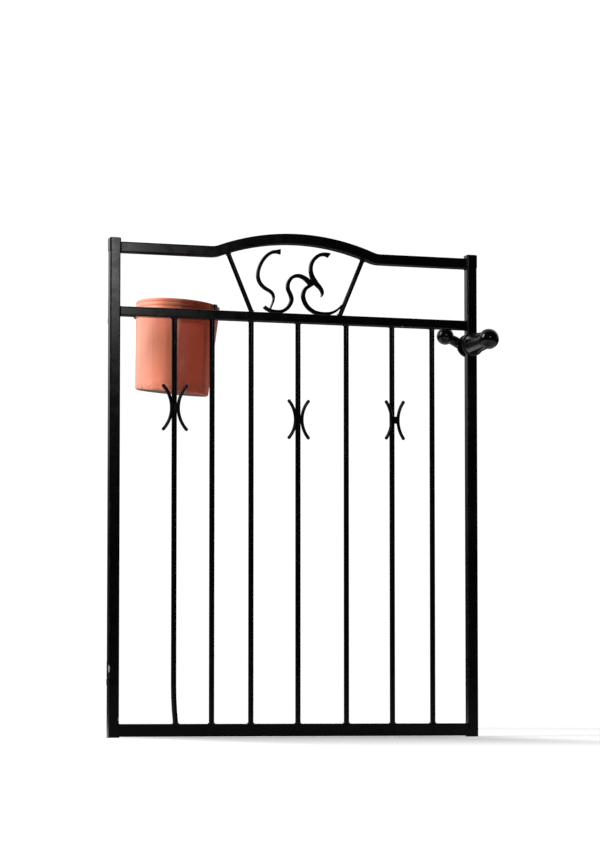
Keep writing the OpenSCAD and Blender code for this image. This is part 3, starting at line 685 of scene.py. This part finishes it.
rail_welds = bmesh.new()
for node in ("mid_rail", "bottom_rail"):
    low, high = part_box(node)
    for x in (low.x, high.x):
        centre = Vector((x, (low.y + high.y) / 2, (low.z + high.z) / 2))
        half_y, half_z = (high.y - low.y) / 2, (high.z - low.z) / 2
        weld_box(rail_welds, centre, half_y, half_z, RAIL_BEAD)
for inner, furthest in ((left_high.x, min), (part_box("right_stile")[0].x, max)):
    corners = [v.co for v in frame["nodes"]["top_rail"].data.vertices]
    edge = furthest(co.x for co in corners)
    tip = [co for co in corners if abs(co.x - edge) < 2 * MM]
    low_y, high_y = min(co.y for co in tip), max(co.y for co in tip)
    low_z, high_z = min(co.z for co in tip), max(co.z for co in tip)
    centre = Vector((inner, (low_y + high_y) / 2, (low_z + high_z) / 2))
    half_y, half_z = (high_y - low_y) / 2, (high_z - low_z) / 2
    weld_box(rail_welds, centre, half_y, half_z, TOP_RAIL_BEAD)
new_piece("rail_welds", rail_welds, "leaf", coat_welds)

# braces, scrolls, bows and the plate of the pot's ring
panel_welds = bmesh.new()
mid_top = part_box("mid_rail")[1].z
for node, inward in (("left_brace", 1), ("right_brace", -1)):
    low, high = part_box(node)
    radius = (high.y - low.y) / 2
    foot_x, top_x = (high.x, low.x) if inward > 0 else (low.x, high.x)
    foot = Vector((foot_x - inward * radius * 1.08, (low.y + high.y) / 2, mid_top))
    top = Vector((top_x + inward * radius, foot.y, high.z - 3.5 * MM))
    turn = turn_to(top - foot)
    weld_ring(panel_welds, foot + (top - foot) * 0.004, radius, BRACE_BEAD, 1, turn)
    weld_ring(panel_welds, top, radius, BRACE_BEAD, -1, turn)
for node in ("scroll_lower_left", "scroll_lower_right"):
    low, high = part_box(node)
    points = [v.co for v in frame["nodes"][node].data.vertices]
    foot = [co.x for co in points if co.z < mid_top + 0.6 * MM]
    left_end, right_end = min(foot) - 2 * MM, max(foot) + 2 * MM
    z = mid_top + 0.3 * MM
    for y in (low.y, high.y):
        weld_line(panel_welds, (left_end, y, z), (right_end, y, z), PANEL_BEAD)
for node in ("left_bow_pair", "middle_bow_pair", "right_bow_pair"):
    low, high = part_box(node)
    waist_x, waist_z = (low.x + high.x) / 2, (low.z + high.z) / 2
    y = high.y - 3.2 * MM
    for x in (waist_x - WAIST_HALF, waist_x + WAIST_HALF):
        ends = (x, y, waist_z - 9 * MM), (x, y, waist_z + 9 * MM)
        weld_line(panel_welds, *ends, PANEL_BEAD)
low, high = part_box("pot_ring_plate")
plate_x = (low.x + high.x) / 2
ends = (plate_x - 17 * MM, high.y, high.z), (plate_x + 17 * MM, high.y, high.z)
weld_line(panel_welds, *ends, PLATE_BEAD)
new_piece("panel_welds", panel_welds, "leaf", coat_welds)

# hinge tabs on the stile, pintle bars on the plates
tab_welds, pintle_welds = bmesh.new(), bmesh.new()
for place in ("upper", "lower"):
    low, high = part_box(f"{place}_hinge_eye")
    eye_x = (low.x + high.x) / 2
    y = low.y + 0.4 * MM
    for x in (eye_x - TAB_HALF, eye_x + TAB_HALF):
        ends = (x, y, low.z + 2 * MM), (x, y, high.z - 2 * MM)
        weld_line(tab_welds, *ends, HINGE_BEAD)
    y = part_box(f"{place}_hinge_plate")[0].y - 0.4 * MM
    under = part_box(f"{place}_pintle")[0].z
    left_end, right_end = eye_x - BAR_HALF + 1 * MM, eye_x + BAR_HALF - 1 * MM
    for z in (under, under + BOSS_T):
        weld_line(pintle_welds, (left_end, y, z), (right_end, y, z), HINGE_BEAD)
new_piece("hinge_tab_welds", tab_welds, "leaf", coat_welds)
new_piece("pintle_welds", pintle_welds, "post_side", coat_welds)


# ---- stage: floor, lights, camera ----

FLOOR_R = 2.6
gate_x = (cad_box[0][0] + cad_box[1][0]) / 2
gate_y = middle("bottom_rail").y


def stage_floor():
    bm = bmesh.new()
    bmesh.ops.create_circle(bm, cap_ends=True, segments=96, radius=FLOOR_R)
    mesh = bpy.data.meshes.new("studio_floor")
    bm.to_mesh(mesh)
    bm.free()
    floor = bpy.data.objects.new("studio_floor", mesh)
    bpy.context.scene.collection.objects.link(floor)
    floor.location = (gate_x, gate_y, cad_box[0][2])
    f = Finish("pale_floor", **{"Specular IOR Level": 0.0, "Emission Strength": 0.28})
    tone = f.noise(3, 2)
    # painted shadow: the floor's colour and glow are darkened under the gate and for up to
    # 2.3 m in front of it
    ahead = f.y * -1
    near = (1 - ahead.over(0.0, 2.3)) * ahead.over(-0.35, 0.02)
    shade = near * (1 - abs(f.x).over(0.25, 0.62)) * 0.52
    pale = f.blend(tone, (0.80, 0.80, 0.80), (0.84, 0.84, 0.84))
    f.set(
        Base_Color=f.blend(shade, pale, (0.0, 0.0, 0.0)),
        Emission_Color=f.blend(shade, (1, 1, 1), (0.0, 0.0, 0.0)),
        Roughness=0.8,
    )
    mesh.materials.append(f.material)


stage_floor()


def soft_light(name, place, target, size, power):
    lamp = bpy.data.lights.new(name, "AREA")
    lamp.shape = "RECTANGLE"
    lamp.size, lamp.size_y = size
    lamp.energy = power
    item = bpy.data.objects.new(name, lamp)
    bpy.context.scene.collection.objects.link(item)
    item.location = place
    aim = Vector(target) - Vector(place)
    item.rotation_euler = aim.to_track_quat("-Z", "Y").to_euler()


def world_light():
    """A pale studio: bright behind and above the gate, dark in front of it."""
    world = bpy.data.worlds.new("studio")
    bpy.context.scene.world = world
    world.use_nodes = True
    sky = Nodes(world.node_tree)
    _, y, z = sky.split(sky.add("ShaderNodeTexCoord").outputs["Generated"])
    # it is dim along the horizon too, so that the gate's sides are black lower down
    light = y.over(-0.25, 0.55, 0.005, 1.35) * z.over(0.06, 0.17, 0.03, 1.0)
    seen = sky.add("ShaderNodeLightPath").outputs["Is Camera Ray"]
    pick = sky.add("ShaderNodeMix", {"data_type": "FLOAT"}, {0: seen, 2: light, 3: 1.05})
    shade = sky.add(
        "ShaderNodeBackground", {}, {"Color": (1, 1, 1), "Strength": pick.outputs[0]}
    )
    sky.add("ShaderNodeOutputWorld", {}, {"Surface": shade.outputs[0]})


world_light()

soft_light("corner_glow", (0.56, -3.23, 1.50), (-0.02, -0.06, 0.95), (0.30, 0.34), 15)
soft_light("left_softbox", (-2.25, -0.10, 2.45), (0.3, -0.10, 0.70), (1.2, 1.9), 128)

cam_data = bpy.data.cameras.new("camera")
cam_data.sensor_width = 36.0
cam_data.lens = 117.8335
cam_data.shift_y = 0.14
camera = bpy.data.objects.new("camera", cam_data)
bpy.context.scene.collection.objects.link(camera)
camera.location = (-1.4975, -6.403, -0.0467)
camera.rotation_euler = (math.radians(93.2), 0, math.radians(-17.0))
bpy.context.scene.camera = camera
bpy.context.scene.view_settings.view_transform = "Standard"
